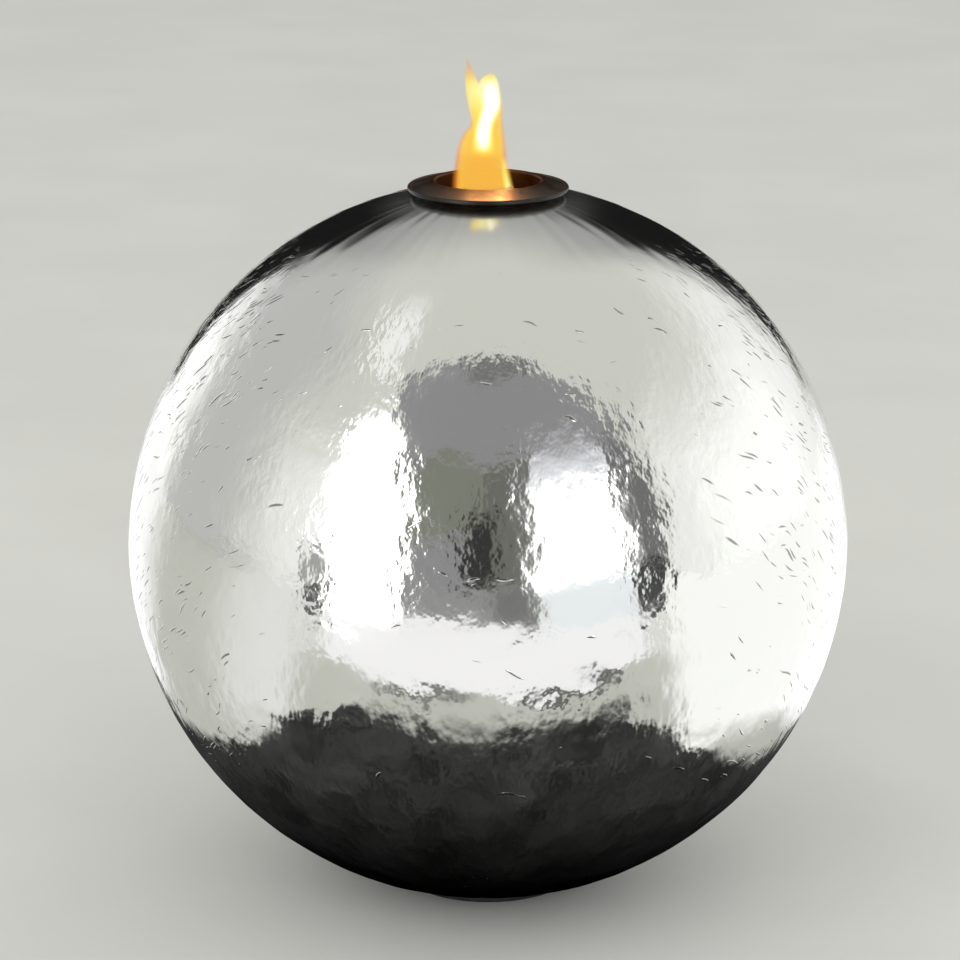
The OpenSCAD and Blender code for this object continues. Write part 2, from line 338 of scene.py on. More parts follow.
        # Painted shade: the strokes darken the steel's colour towards the colour of their steeper side.
        colours = {0: product(stroke_and_painted_shade, self.painted_shade_share), 6: linear(self.colour), 7: linear(self.stroke_and_painted_shade)}
        height = node("Math", {0: rough_water, 1: product(stroke_and_painted_shade, self.stroke_mm)}, operation="ADD")
        bump = node("Bump", {"Height": height, "Distance": MM, "Strength": 1.0})
        clears = {0: fall, 1: self.smear_mm[0], 2: self.smear_mm[1], 3: self.smeared, 4: self.roughness}
        feed(
            shader,
            {
                "Base Color": node("Mix", colours, data_type="RGBA").outputs[2],
                "Roughness": node("MapRange", clears, **SMOOTH),
                "Normal": bump,
                "Coat Normal": bump,
                "Coat Weight": 1.0,
                "Coat Roughness": 0.03,
                "Coat IOR": self.water_ior,
            },
        )


@dataclass(frozen=True)
class TurnedSteel(Finish):
    """Stainless sheet spun on a lathe and burnt by the flame.

    Turning leaves fine rings about the axis; heat has dulled and browned the steel towards the mouth.
    """

    name: str = "spun_heat_darkened_stainless_steel"
    colour: str = "#41413E"
    roughness: float = 0.35
    burnt: str = "#2E2218"
    stain: str = "#A8A39A"
    stain_mm: float = 7.0
    heat_mm: Point = (21.0, 33.0)  # distances from the axis over which the heat colour changes, ending in painted shade on the outer bead
    ring_mm: float = 0.45  # the real feed is finer: drawn as coarse as it needs to show

    def pattern(self, node: Adder, shader: bpy.types.Node) -> None:
        """Adds turning rings, heat colour by distance from the axis with painted shade on the outer bead, and
        dried water marks.

        Args:
            node: adds a node to the material.
            shader: the material's Principled node.
        """
        place = node("TexCoord").outputs["Object"]
        flat = node("VectorMath", {0: place, 1: FLAT}, operation="MULTIPLY")
        radius = node("VectorMath", {0: flat}, operation="LENGTH").outputs["Value"]
        # Heat colour by distance from the axis. The ramp darkens again towards the outer bead: painted shade,
        # which dims the bright room that the bead mirrors.
        heat = node(
            "ValToRGB",
            {0: node("MapRange", {0: radius, 1: self.heat_mm[0] * MM, 2: self.heat_mm[1] * MM})},
            stops=(
                (0.0, self.burnt), (0.18, "#372E26"), (0.45, self.colour), (0.85, "#50504D"), (1.0, "#383836")
            ),
        )
        scale = 1 / (self.stain_mm * MM)
        marks = node("TexNoise", {"Vector": place, "Scale": scale, "Detail": 4.0, "Roughness": 0.6})
        share = node("MapRange", {0: marks, 1: 0.45, 2: 0.75, 3: 0.0, 4: 0.5})
        stained = {0: share, 6: heat, 7: linear(self.stain)}
        rings = node("Math", {0: radius, 1: TURN / (self.ring_mm * MM)}, operation="MULTIPLY")
        groove = node("Math", {0: rings}, operation="SINE")
        uneven = node("TexNoise", {"Vector": flat, "Scale": 1 / (2.5 * MM), "Detail": 2.0})
        relief = node("Math", {0: uneven, 1: 1.5, 2: groove}, operation="MULTIPLY_ADD")
        dulled = {0: marks, 1: 0.3, 2: 0.7, 3: self.roughness - 0.06, 4: self.roughness + 0.12}
        feed(
            shader,
            {
                "Base Color": node("Mix", stained, data_type="RGBA", blend_type="MULTIPLY").outputs[2],
                "Roughness": node("MapRange", dulled),
                "Normal": node("Bump", {"Height": relief, "Distance": 0.006 * MM, "Strength": 1.0}),
            },
        )


@dataclass(frozen=True)
class MillSteel(Finish):
    """Stainless sheet and tube as the mill leaves it: dull, with a faint drawn grain along its length."""

    name: str = "mill_finish_stainless_steel"
    colour: str = "#A9AAA7"
    roughness: float = 0.34
    heat: str = "#A9AAA7"  # colour of the upper end, where the flame heats it
    cool_mm: float = 200.0  # height below which the steel keeps its colour
    hot_mm: float = 300.0  # height at which it has its heat colour
    spot: str = "#B9B4AA"
    spot_mm: float = 11.0
    # Real grain lines are under 0.05 mm apart: drawn 0.4 mm wide and 12 mm long so that they show.
    grain_per_m: tuple[float, float, float] = (2500.0, 2500.0, 80.0)

    def pattern(self, node: Adder, shader: bpy.types.Node) -> None:
        """Adds the drawn grain, water spots and heat colour by height.

        Args:
            node: adds a node to the material.
            shader: the material's Principled node.
        """
        place = node("TexCoord").outputs["Object"]
        height = node("SeparateXYZ", {0: place}).outputs["Z"]
        warm = node("MapRange", {0: height, 1: self.cool_mm * MM, 2: self.hot_mm * MM}, **SMOOTH)
        tint = node("ValToRGB", {0: warm}, stops=((0.0, self.colour), (1.0, self.heat)))
        scale = 1 / (self.spot_mm * MM)
        spots = node("TexNoise", {"Vector": place, "Scale": scale, "Detail": 5.0, "Roughness": 0.62})
        share = node("MapRange", {0: spots, 1: 0.42, 2: 0.72, 3: 0.0, 4: 0.45})
        dull = {0: share, 6: tint, 7: linear(self.spot)}
        along = node("VectorMath", {0: place, 1: self.grain_per_m}, operation="MULTIPLY")
        grain = node("TexNoise", {"Vector": along, "Scale": 1.0, "Detail": 2.0})
        rough = {0: grain, 1: 0.3, 2: 0.7, 3: self.roughness - 0.08, 4: self.roughness + 0.1}
        feed(
            shader,
            {
                "Base Color": node("Mix", dull, data_type="RGBA", blend_type="MULTIPLY").outputs[2],
                "Roughness": node("MapRange", rough),
                "Normal": node("Bump", {"Height": grain, "Distance": 0.01 * MM, "Strength": 1.0}),
            },
        )


@dataclass(frozen=True)
class SootedSteel(Finish):
    """Stainless plate beside the flame: brown from heat, with soot round the wick and in specks."""

    name: str = "sooted_heat_tinted_stainless_steel"
    colour: str = "#7A5C3C"
    roughness: float = 0.42
    speck_mm: float = 2.2
    ragged_mm: float = 9.0  # how far the specks push the soot's edge about
    soot_mm: Point = (16.0, 27.0)  # distances from the axis over which the soot thins out

    def pattern(self, node: Adder, shader: bpy.types.Node) -> None:
        """Adds soot by distance from the axis, broken by noise.

        Args:
            node: adds a node to the material.
            shader: the material's Principled node.
        """
        place = node("TexCoord").outputs["Object"]
        flat = node("VectorMath", {0: place, 1: FLAT}, operation="MULTIPLY")
        radius = node("VectorMath", {0: flat}, operation="LENGTH").outputs["Value"]
        scale = 1 / (self.speck_mm * MM)
        specks = node("TexNoise", {"Vector": place, "Scale": scale, "Detail": 5.0, "Roughness": 0.65})
        reach = node("Math", {0: specks, 1: self.ragged_mm * MM, 2: radius}, operation="MULTIPLY_ADD")
        soot = node(
            "ValToRGB",
            {0: node("MapRange", {0: reach, 1: self.soot_mm[0] * MM, 2: self.soot_mm[1] * MM})},
            stops=((0.0, "#14110F"), (0.35, "#3A2A1C"), (0.7, self.colour), (1.0, "#8A7458")),
        )
        crust = node("Bump", {"Height": specks, "Distance": 0.12 * MM, "Strength": 1.0})
        feed(shader, {"Base Color": soot, "Normal": crust})


@dataclass(frozen=True)
class TarnishedBrass(Finish):
    """Turned brass, browned by heat and lamp oil: bright turning rings under a patchy tarnish."""

    name: str = "tarnished_turned_brass"
    colour: str = "#C79A4B"
    roughness: float = 0.27
    patch_mm: float = 6.0
    ring_mm: float = 0.5
    burnt_mm: Point = (274.0, 296.0)  # heights between which the flame's heat adds to the tarnish

    def pattern(self, node: Adder, shader: bpy.types.Node) -> None:
        """Adds tarnish, darker towards the flame, and turning rings along the tube.

        Args:
            node: adds a node to the material.
            shader: the material's Principled node.
        """
        place = node("TexCoord").outputs["Object"]
        height = node("SeparateXYZ", {0: place}).outputs["Z"]
        scale = 1 / (self.patch_mm * MM)
        patches = node("TexNoise", {"Vector": place, "Scale": scale, "Detail": 5.0, "Roughness": 0.6})
        heights = {0: height, 1: self.burnt_mm[0] * MM, 2: self.burnt_mm[1] * MM, 3: 0.0, 4: 0.45}
        amount = node("Math", {0: patches, 1: node("MapRange", heights)}, operation="ADD")
        browns = ((0.35, self.colour), (0.6, "#9C7134"), (0.95, "#3A2A1A"))
        tarnish = node("ValToRGB", {0: amount}, stops=browns)
        rings = node("Math", {0: height, 1: TURN / (self.ring_mm * MM)}, operation="MULTIPLY")
        groove = node("Math", {0: rings}, operation="SINE")
        dulled = {0: patches, 1: 0.35, 2: 0.7, 3: self.roughness - 0.07, 4: self.roughness + 0.2}
        feed(
            shader,
            {
                "Base Color": tarnish,
                "Roughness": node("MapRange", dulled),
                "Normal": node("Bump", {"Height": groove, "Distance": 0.004 * MM, "Strength": 1.0}),
            },
        )


@dataclass(frozen=True)
class BraidedGlassFibre(Finish):
    """Glass-fibre yarn, braided into a round wick: cream and oil-soaked, charred black at the flame."""

    name: str = "braided_glass_fibre"
    colour: str = "#CDBE98"
    roughness: float = 0.75
    metallic: float = 0.0
    blotch_mm: float = 4.0
    ragged_mm: float = 9.0  # how far the blotches push the char's edge about
    char_mm: Point = (240.0, 304.0)  # heights between which the yarn goes from oil-soaked to charred
    # Filaments of the yarn are a few hundredths of a millimetre: drawn 0.25 mm wide so that they show.
    threads_per_m: tuple[float, float, float] = (4000.0, 4000.0, 1400.0)

    def pattern(self, node: Adder, shader: bpy.types.Node) -> None:
        """Adds the char by height, the oil's stain, painted shade in the grooves between the yarns, and the
        yarn's fine threads.

        Args:
            node: adds a node to the material.
            shader: the material's Principled node.
        """
        place = node("TexCoord").outputs["Object"]
        height = node("SeparateXYZ", {0: place}).outputs["Z"]
        blotch = node("TexNoise", {"Vector": place, "Scale": 1 / (self.blotch_mm * MM), "Detail": 4.0})
        edge = node("Math", {0: blotch, 1: self.ragged_mm * MM, 2: height}, operation="MULTIPLY_ADD")
        char = node(
            "ValToRGB",
            {0: node("MapRange", {0: edge, 1: self.char_mm[0] * MM, 2: self.char_mm[1] * MM})},
            stops=(
                (0.0, "#B9A36F"), (0.55, self.colour), (0.84, "#7C6338"), (0.9, "#2A2019"), (1.0, "#171412")
            ),
        )
        # Painted shade: the colour is darkened in the grooves between the yarns.
        groove = node("Attribute", attribute_name="yarn").outputs["Fac"]
        shade = node("MapRange", {0: groove, 1: 0.0, 2: 0.8, 3: 0.45, 4: 1.0})
        fine = node("VectorMath", {0: place, 1: self.threads_per_m}, operation="MULTIPLY")
        threads = node("TexNoise", {"Vector": fine, "Scale": 1.0, "Detail": 1.0})
        feed(
            shader,
            {
                "Base Color": node("VectorMath", {0: char, 1: shade}, operation="MULTIPLY"),
                "Normal": node("Bump", {"Height": threads, "Distance": 0.12 * MM, "Strength": 1.0}),
                "Sheen Weight": 0.2,
            },
        )


@dataclass(frozen=True)
class MouldedRubber(Finish):
    """Moulded rubber or silicone: matt, with the fine spark-eroded texture of its mould and some dust."""

    name: str = "moulded_black_rubber"
    colour: str = "#1E1E1E"
    roughness: float = 0.62
    metallic: float = 0.0
    dust: str = "#4A4844"
    patch_mm: float = 9.0
    grit_mm: float = 0.5

    def pattern(self, node: Adder, shader: bpy.types.Node) -> None:
        """Adds the mould's texture and dust in patches.

        Args:
            node: adds a node to the material.
            shader: the material's Principled node.
        """
        place = node("TexCoord").outputs["Object"]
        scale = 1 / (self.patch_mm * MM)
        patches = node("TexNoise", {"Vector": place, "Scale": scale, "Detail": 5.0, "Roughness": 0.65})
        dusty = node("ValToRGB", {0: patches}, stops=((0.45, self.colour), (0.85, self.dust)))
        grit = node("TexNoise", {"Vector": place, "Scale": 1 / (self.grit_mm * MM), "Detail": 2.0})
        texture = node("Bump", {"Height": grit, "Distance": 0.05 * MM, "Strength": 1.0})
        feed(shader, {"Base Color": dusty, "Normal": texture})


@dataclass(frozen=True)
class PaleFloor(Finish):
    """The studio's pale painted floor: matt, with the faintest roller marks."""

    name: str = "pale_painted_floor"
    colour: str = "#DADAD7"
    roughness: float = 0.8
    metallic: float = 0.0

    def pattern(self, node: Adder, shader: bpy.types.Node) -> None:
        """Adds the roller's soft unevenness.

        Args:
            node: adds a node to the material.
            shader: the material's Principled node.
        """
        place = node("TexCoord").outputs["Object"]
        rolled = node("TexNoise", {"Vector": place, "Scale": 6.0, "Detail": 3.0})
        paint = node("ValToRGB", {0: rolled}, stops=((0.35, "#D8D8D5"), (0.65, "#DCDCD9")))
        feed(shader, {"Base Color": paint, "Specular IOR Level": 0.2})


# ---------------------------------------------------------------- sub-assemblies


@dataclass
class SubAssembly:
    """What is carried by one moving body: it builds its pieces and dresses the CAD nodes that it keeps."""

    nodes: dict[str, bpy.types.Object]
    body: str

    def fit(self, piece: bpy.types.Object, finish: Finish, slot: str, nodes: Sequence[str]) -> None:
        """Fits a new piece to the body and dresses it.

        Args:
            piece: the new piece, in place.
            finish: its finish.
            slot: a material slot's name; not used.
            nodes: the CAD nodes that it stands for.
        """
        finish.dress(piece)
        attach(piece, self.body)
        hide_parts(*nodes)
        log.info("%s: %d faces on %s, in %s", piece.name, len(piece.data.polygons), self.body, finish.name)

    def keep(self, node: str, finish: Finish) -> None:
        """Keeps a CAD node as it is and gives it its finish."""
        finish.dress(self.nodes[node])
        log.info("%s: kept on %s, in %s", node, self.body, finish.name)


@dataclass
class Ball(SubAssembly):
    """The hollow ball with its base and its water way. Sizes in millimetres."""

    body: str = "ball"
    radius: float = 150.0
    wall: float = 1.2
    opening_r: float = 28.2
    stand_r: float = 40.0
    slow_waves: float = 0.3  # heights of the film's waves, and of its smooth sheets at the slot
    short_waves: float = 0.12
    sheets: float = 0.12
    slow_mm: Point = (34.0, 27.0)  # how long each of them is across and along the flow
    short_mm: Point = (13.0, 9.0)
    sheet_mm: Point = (11.0, 80.0)
    break_mm: Point = (50.0, 115.0)  # falls between which the sheets break up into waves
    recess_r: float = 31.8
    grip: float = 1.8  # wall of the rubber upstand in the recess
    sole: float = 3.0
    riser_r: float = 11.0
    well_floor: float = 9.0  # height of the well's floor over its neck's foot
    well_wall: float = 1.0
    well_corner: float = 5.0
    foot: MouldedRubber = MouldedRubber()
    steel: MillSteel = MillSteel()

    def build(self) -> None:
        """Builds the polished skin, the foot and the well, and dresses the hidden parts."""
        self.centre_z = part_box("upper_shell")[0].z / MM
        self.skin()
        self.foot_ring()
        self.well()
        for node in ("seam_strip", "base_pan", "inlet_socket", "riser_pipe", "flow_baffle", "centring_fins"):
            self.keep(node, self.steel)

    def film_height(self, film: Vector) -> float:
        """Gives the height of the film's slow waves.

        Args:
            film: a place on the skin, in millimetres across and along the flow.

        Returns:
            The height above the steel's nominal surface, in millimetres.
        """
        broken = ease(*self.break_mm, film.z)
        (slow_x, slow_z), (short_x, short_z), (sheet_x, sheet_z) = self.slow_mm, self.short_mm, self.sheet_mm
        slow = noise.noise(Vector((film.x / slow_x, film.y / slow_x, film.z / slow_z)))
        short = noise.noise(Vector((film.x / short_x + 5, film.y / short_x, film.z / short_z)))
        sheet = noise.noise(Vector((film.x / sheet_x, film.y / sheet_x + 3, film.z / sheet_z)))
        waves = self.slow_waves * slow + self.short_waves * short
        return broken * waves + (1 - broken) * self.sheets * sheet

    def skin(self) -> None:
        """Spins both half shells as one wall, and lays the running film on its outside."""
        rim = math.degrees(math.asin(self.opening_r / self.radius))
        flat = math.degrees(math.asin(self.stand_r / self.radius))
        inner = self.radius - self.wall
        inner_rim = math.degrees(math.asin(self.opening_r / inner))
        inner_flat = math.degrees(math.acos(self.radius * math.cos(math.radians(flat)) / inner))
        centre = (0.0, self.centre_z)
        profile = arc(centre, self.radius, 90 - rim, flat - 90, 214)
        profile += arc(centre, inner, inner_flat - 90, 90 - inner_rim, 34)
        bm = spun(profile, 360)
        middle = Vector((0, 0, self.centre_z * MM))
        outside = (self.radius - self.wall / 2) * MM
        films = []
        for vert in bm.verts:
            out = vert.co - middle
            around = Vector((out.x, out.y, 0)).normalized() * self.radius
            fall = self.radius * math.acos(min(max(out.z / out.length, -1), 1))
            film = Vector((around.x, around.y, fall))
            films.append(film)
            if out.length > outside:
                vert.co += out.normalized() * self.film_height(film) * MM
        ball = model("ball_skin", bm, 50)
        values = ball.data.attributes.new("film", "FLOAT_VECTOR", "POINT")
        values.data.foreach_set("vector", [c for film in films for c in film])
        self.fit(ball, WetMirrorSteel(), "polished_steel", ["upper_shell", "lower_shell"])

    def foot_ring(self) -> None:
        """Moulds the rubber foot with its rounded sole and its upstand in the recess."""
        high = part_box("foot_ring")[1]
        outer, inner, top = high.x / MM, self.recess_r - self.grip, high.z / MM
        soft = 1.0
        profile = arc((inner + soft, soft), soft, 180, 270, 6) + arc((outer - soft, soft), soft, 270, 360, 6)
        profile += [(outer, self.sole), (self.recess_r, self.sole), (self.recess_r, top), (inner, top)]
        bm = spun(profile, 192)
        self.fit(model("rubber_foot", bm), self.foot, "black_rubber", ["foot_ring"])

    def well(self) -> None:
        """Spins the well with its rounded lip and the neck for the riser."""
        low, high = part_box("well_cup")
        lip, neck, inner, wall = high.z / MM, low.z / MM, self.opening_r - self.well_wall, self.well_wall
        floor, bore = neck + self.well_floor, self.riser_r
        corner = (self.opening_r - self.well_corner, floor + self.well_corner - wall)
        profile = [(bore, floor), (bore, neck), (bore + wall, neck), (bore + wall, floor - wall)]
        profile += arc(corner, self.well_corner, 270, 360, 10)
        profile += arc((inner + wall / 2, lip - wall / 2), wall / 2, 0, 180, 10)
        profile += arc(corner, self.well_corner - wall, 360, 270, 10)
        bm = spun(profile, 192)
        self.fit(model("spun_well", bm), self.steel, "inner_steel", ["well_cup"])


@dataclass
class Burner(SubAssembly):
    """The lift-out burner: tank, cover ring and the seat for the wick holder. Sizes in millimetres."""

    body: str = "burner"
    mouth_r: float = 21.6
    sheet: float = 1.0
    bead_r: float = 1.0
    crown_r: float = 1.1
    tank_wall: float = 0.8
    tank_corner: float = 4.0
    cover_rise: float = 3.4  # height of the crown over the middle of the bead
    tank: MillSteel = MillSteel(
        name="oil_stained_drawn_steel", colour="#A19C91", heat="#7D5B36", cool_mm=262, hot_mm=298
    )
    silicone: MouldedRubber = MouldedRubber(
        name="moulded_red_silicone", colour="#8C2A1E", roughness=0.5, dust="#A85A4C"
    )

    def build(self) -> None:
        """Builds the cover ring and the tank, and dresses the seat, the gasket and the pads."""
        self.cover_ring()
        self.fuel_tank()
        self.keep("plate_seat", self.tank)
        self.keep("plate_gasket", self.silicone)
        self.keep("tank_pads", self.silicone)

    def cover_ring(self) -> None:
        """Spins the cover: bead over the slot, cone, rolled crown and neck."""
        low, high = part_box("cover_ring")
        crown, edge, foot = high.z / MM, high.x / MM, low.z / MM
        crown_at = self.mouth_r + self.crown_r
        bead = (edge - self.bead_r, crown - self.cover_rise)
        slope = math.degrees(math.atan2(self.cover_rise - self.sheet / 2, bead[0] - crown_at))
        half = self.sheet / 2 / math.cos(math.radians(slope))
        side = math.degrees(math.asin(half * math.cos(math.radians(slope)) / self.bead_r))
        profile = [(self.mouth_r, foot), (self.mouth_r, crown - self.crown_r - 0.1)]
        profile += arc((crown_at, crown - self.crown_r), self.crown_r, 180, 90 - slope, 12)
        profile += arc(bead, self.bead_r, 180 - slope - side, side - slope - 180, 26)
        neck = self.mouth_r + self.sheet
        profile += [(neck + 0.5, crown - 2 * half - 0.2), (neck, crown - 2 * half - 0.9), (neck, foot)]
        bm = spun(profile, 256)
        self.fit(model("spun_cover", bm), TurnedSteel(), "brushed_ring_steel", ["cover_ring"])

    def fuel_tank(self) -> None:
        """Draws the tank with its rounded foot and open top."""
        low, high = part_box("fuel_tank")
        outer, base, top = high.x / MM, low.z / MM, high.z / MM
        corner = (outer - self.tank_corner, base + self.tank_corner)
        profile = [(0, base)] + arc(corner, self.tank_corner, 270, 360, 12)
        inner, soft = outer - self.tank_wall, 0.2
        profile += [(outer, top - soft), (outer - soft, top), (inner + soft, top), (inner, top - soft)]
        profile += arc(corner, self.tank_corner - self.tank_wall, 360, 270, 12) + [(0, base + self.tank_wall)]
        bm = spun(profile, 192)
        self.fit(model("drawn_tank", bm), self.tank, "inner_steel", ["fuel_tank"])


@dataclass
class WickHolder(SubAssembly):
    """The plate and the tube that hold the wick. Sizes in millimetres."""

    body: str = "wick_holder"
    bore_r: float = 11.3
    tube_r: float = 12.2
    collar_r: float = 15.0
    collar: float = 1.5
    below_top: float = 4.0  # depth of the collar's foot under the tube's top
    chamfer: float = 0.25
    plate: SootedSteel = SootedSteel()
    brass: TarnishedBrass = TarnishedBrass()

    def build(self) -> None:
        """Turns the tube and dresses the plate and the nut."""
        low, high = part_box("wick_tube")
        foot, top = low.z / MM, high.z / MM
        seat = top - self.below_top
        small = self.chamfer
        profile = [(self.bore_r, foot + small), (self.bore_r + small, foot), (self.tube_r - small, foot)]
        profile += [(self.tube_r, foot + small), (self.tube_r, seat), (self.collar_r - small, seat)]
        profile += [(self.collar_r, seat + small), (self.collar_r, seat + self.collar - small)]
        profile += [(self.collar_r - small, seat + self.collar), (self.tube_r, seat + self.collar)]
        profile += [(self.tube_r, top - small), (self.tube_r - small, top), (self.bore_r + small, top)]
        profile += [(self.bore_r, top - small)]
        bm = spun(profile, 192)
        self.fit(model("turned_tube", bm), self.brass, "tube_brass", ["wick_tube"])
        self.keep("wick_plate", self.plate)
        self.keep("tube_nut", self.brass)


@dataclass
class Wick(SubAssembly):
    """The round braided wick with its crimped band. Sizes in millimetres."""

    body: str = "wick"
    yarns: int = 16
    yarn_mm: float = 0.35  # depth of the grooves between the yarns
    lay: float = 1.35  # how steeply the yarns climb
    band: MillSteel = MillSteel(name="crimped_stainless_band", colour="#9B958A")

    def build(self) -> None:
        """Braids the wick and dresses its band."""
        low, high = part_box("wick")
        radius, foot, top = high.x / MM, low.z / MM, high.z / MM
        soft = radius / 5
        side = int((top - foot) / 0.6)
        ring = [(radius * i / 14, foot) for i in range(10)]
        ring += arc((radius - soft, foot + soft), soft, 270, 360, 6)
        ring += [(radius, foot + soft + (top - foot - 2 * soft) * i / side) for i in range(1, side)]
        ring += arc((radius - soft, top - soft), soft, 0, 90, 6)
        ring += [(radius * i / 14, top) for i in range(9, -1, -1)]
        bm = spun(ring, 192, closed=False)
        hollows = [self.braid(vert, radius, foot, top) for vert in bm.verts]
        wick = model("braided_wick", bm, 180)
        values = wick.data.attributes.new("yarn", "FLOAT", "POINT")
        values.data.foreach_set("value", hollows)
        self.fit(wick, BraidedGlassFibre(), "glass_fibre", ["wick"])
        self.keep("wick_band", self.band)

    def braid(self, vert: bmesh.types.BMVert, radius: float, foot: float, top: float) -> float:
        """Presses the grooves of the braid into a point of the wick.

        Args:
            vert: the point, which is moved.
            radius: the wick's radius.
            foot: the height of its lower end.
            top: the height of its upper end.

        Returns:
            How high the point stands in its yarn, from 0 in a groove to 1 on a crown.
        """
        out = Vector((vert.co.x, vert.co.y, 0))
        away = out.length / MM
        turn = math.atan2(vert.co.y, vert.co.x)
        climb = vert.co.z / MM * self.yarns / (TURN * radius) * self.lay
        left = 0.5 + 0.5 * math.cos(self.yarns * turn + TURN * climb)
        right = 0.5 + 0.5 * math.cos(self.yarns * turn - TURN * climb)
        over = 0.5 + 0.5 * math.sin(self.yarns * turn / 2) * math.sin(math.pi * climb)
        crown = max(left * over, right * (1 - over)) ** 0.5
        if away > 0.8 * radius:
            vert.co -= out.normalized() * (1 - crown) * self.yarn_mm * MM
            return crown
        rings = 0.5 + 0.5 * math.cos(TURN * away / 2.4 + 3 * noise.noise(vert.co * 300))
        tuft = 0.5 + 0.5 * noise.noise(vert.co * 900)
        vert.co.z += (-1 if vert.co.z / MM > (foot + top) / 2 else 1) * (0.5 * rings + 0.4 * tuft) * MM
        return 1 - 0.8 * rings * tuft


# ---------------------------------------------------------------- flame

SPAN_MM = 20.0  # what a full share stands for in the flame's tables


@dataclass(frozen=True)
class FlameGlow:
    """Burning lamp oil: orange and dense low down, yellow beside its edges, with a white-hot core above.

    It is a volume that glows and hides what is behind it, so that its edges fade softly.
    """

    name: str
    outline: tuple[tuple[float, float, float], ...]  # height, middle and half width
    core: tuple[tuple[float, float, float, float, float], ...]  # the same, its heat and the heat round it
    density: float = 280.0

    def table(self, node: Adder, up: bpy.types.Node, rows: Sequence[tuple[float, ...]]) -> list[Any]:
        """Adds a table by height as a ramp, and splits its columns.

        Args:
            node: adds a node to the material.
            up: the height, from 0 to 1.
            rows: height, middle and up to three values from 0 to 20, in millimetres.

        Returns:
            The middle in metres, and the other columns as shares of 20.
        """
        foot, reach = rows[0][0], rows[-1][0] - rows[0][0]
        stops = []
        for height, middle, *rest in rows:
            shares = [value / SPAN_MM for value in rest] + [0.0, 0.0]
            stops.append(((height - foot) / reach, ((middle + SPAN_MM) / (2 * SPAN_MM), *shares[:3])))
        ramp = node("ValToRGB", {0: up}, stops=stops)
        ramp.color_ramp.interpolation = "B_SPLINE"
        columns = node("SeparateColor", {0: ramp}).outputs
        middle = node("MapRange", {0: columns[0], 3: -SPAN_MM * MM, 4: SPAN_MM * MM})
        return [middle, columns[1], columns[2], ramp.outputs[1]]

    def material(self, crown_mm: float) -> bpy.types.Material:
        """Makes the glowing volume.

        Args:
            crown_mm: the height from which the tables count.

        Returns:
            The material.
        """
        made = bpy.data.materials.new(self.name)
        made.use_nodes = True
        made.cycles.volume_step_rate = 0.12
        made.node_tree.nodes.clear()
        node = partial(add, made.node_tree)
        place = node("SeparateXYZ", {0: node("TexCoord").outputs["Object"]}).outputs
        foot, top = ((crown_mm + self.outline[end][0]) * MM for end in (0, -1))
        up = node("MapRange", {0: place["Z"], 1: foot, 2: top})

        middle, half, *_ = self.table(node, up, self.outline)
        beside = node("Math", {0: place["X"], 1: middle}, operation="SUBTRACT")
        flat = node("CombineXYZ", {0: beside, 1: place["Y"]})
        away = node("VectorMath", {0: flat}, operation="LENGTH").outputs["Value"]
        reach = node("Math", {0: half, 1: SPAN_MM * MM}, operation="MULTIPLY")
        edge = node("Math", {0: away, 1: reach}, operation="DIVIDE")
        body = node("MapRange", {0: edge, 1: 1.16, 2: 0.76}, **SMOOTH)

        hot, wide, heat, around = self.table(node, up, self.core)
        apart = node("Math", {0: place["X"], 1: hot}, operation="SUBTRACT")
        apart = node("Math", {0: apart}, operation="ABSOLUTE")
        reach = node("Math", {0: wide, 1: SPAN_MM * MM}, operation="MULTIPLY")
        apart = node("Math", {0: apart, 1: reach}, operation="DIVIDE")
        near = node("MapRange", {0: apart, 1: 1.0, 2: 0.0}, **SMOOTH)
        inner = node("Math", {0: near, 1: heat}, operation="MULTIPLY")
        inner = node("Math", {0: inner, 1: around}, operation="ADD")
        lit = node("MapRange", {0: edge, 1: 0.6, 2: 0.82, 4: 0.14}, **SMOOTH)
        rim = node("MapRange", {0: edge, 1: 0.86, 2: 1.0, 4: 0.3}, **SMOOTH)
        stripe = node("Math", {0: lit, 1: rim}, operation="SUBTRACT")
        colour = node(
            "ValToRGB",
            {0: node("Math", {0: inner, 1: stripe}, operation="ADD")},
            stops=(
                (0.0, "#E5842A"), (0.08, "#F6A03A"), (0.18, "#FBBA4D"),
                (0.36, "#FDD450"), (0.6, "#FDF07E"), (0.85, "#FFFCE4"),
            ),
        )
        dense = node("Math", {0: body, 1: self.density}, operation="MULTIPLY")
        bright = node("MapRange", {0: inner, 1: 0.2, 2: 1.0, 3: 1.0, 4: 1.35})
        strength = node("Math", {0: dense, 1: bright}, operation="MULTIPLY")
        emits = node("Emission", {"Color": colour, "Strength": strength})
        hides = node("VolumeAbsorption", {"Color": (0.0, 0.0, 0.0, 1.0), "Density": dense})
        node("OutputMaterial", {"Volume": node("AddShader", {0: emits, 1: hides})})
        return made


